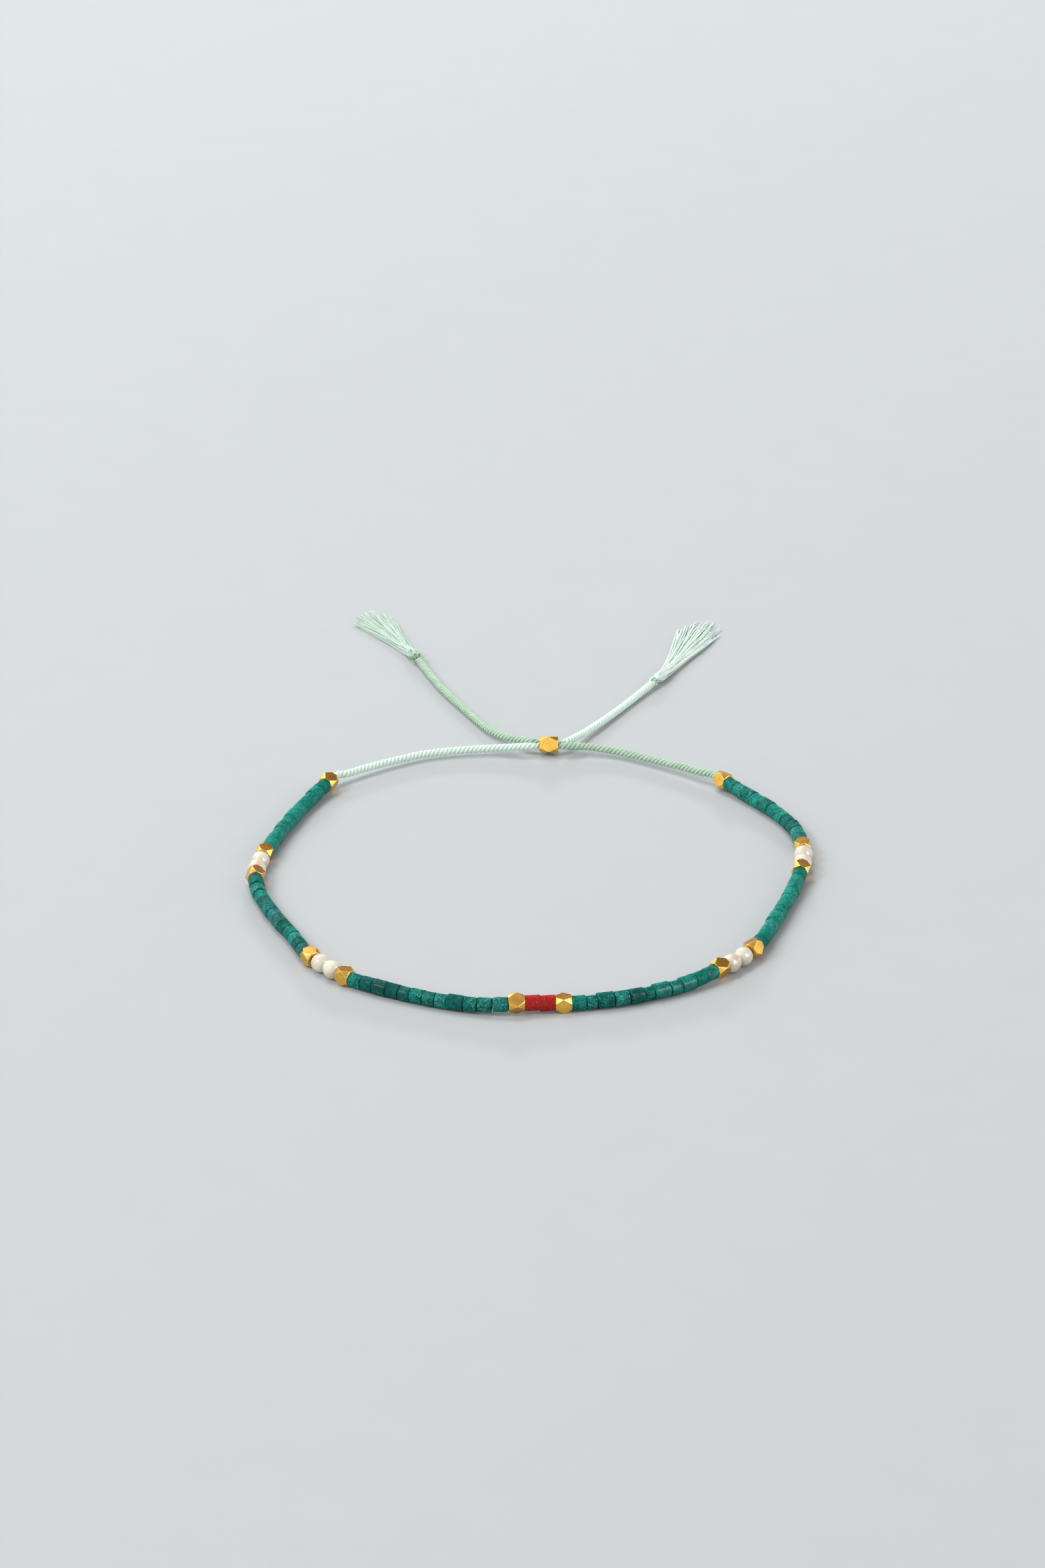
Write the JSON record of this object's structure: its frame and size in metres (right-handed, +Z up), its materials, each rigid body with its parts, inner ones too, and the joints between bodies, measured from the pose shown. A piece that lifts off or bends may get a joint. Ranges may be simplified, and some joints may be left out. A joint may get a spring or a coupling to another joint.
{
  "type": "beaded cord bracelet",
  "caption": "Adjustable bracelet of small green stone, gold, pearl and red beads on silk cord, closed by a sliding bead, with knotted and frayed cord ends.",
  "frame": {"origin": "on the surface that the bracelet lies on, at the middle of the beaded loop and its sliding bead", "axes": "+X to the right along the front of the loop, +Y from the red beads towards the sliding bead and the tassels, +Z up"},
  "size_m": [0.0696, 0.1172, 0.0027],
  "materials": {
    "gold": "faceted, with fine pits and worn bright edges",
    "green_stone": "satin polished stone with paler veins and specks",
    "red_stone": "satin with fine lighter specks",
    "pearl": "glossy nacre",
    "silk": "twisted mint silk, frayed at its ends"
  },
  "bodies": {
    "root": {"gold_bead_01": "gold", "gold_bead_02": "gold", "gold_bead_03": "gold", "gold_bead_04": "gold", "gold_bead_05": "gold", "gold_bead_06": "gold", "gold_bead_07": "gold", "gold_bead_08": "gold", "gold_bead_09": "gold", "gold_bead_10": "gold", "gold_bead_11": "gold", "gold_bead_12": "gold", "slider_bead": "gold", "heishi_run_a": "green_stone", "heishi_run_b": "green_stone", "heishi_run_c": "green_stone", "heishi_run_d": "green_stone", "heishi_run_e": "green_stone", "heishi_run_f": "green_stone", "red_bead_01": "red_stone", "red_bead_02": "red_stone", "pearl_bead_01": "pearl", "pearl_bead_02": "pearl", "pearl_bead_03": "pearl", "pearl_bead_04": "pearl", "pearl_bead_05": "pearl", "pearl_bead_06": "pearl", "pearl_bead_07": "pearl", "pearl_bead_08": "pearl", "bead_thread": "silk", "cord_left": "silk", "cord_right": "silk", "knot_left": "silk", "knot_right": "silk", "tassel_left": "silk", "tassel_right": "silk"}
  },
  "joints": []
}
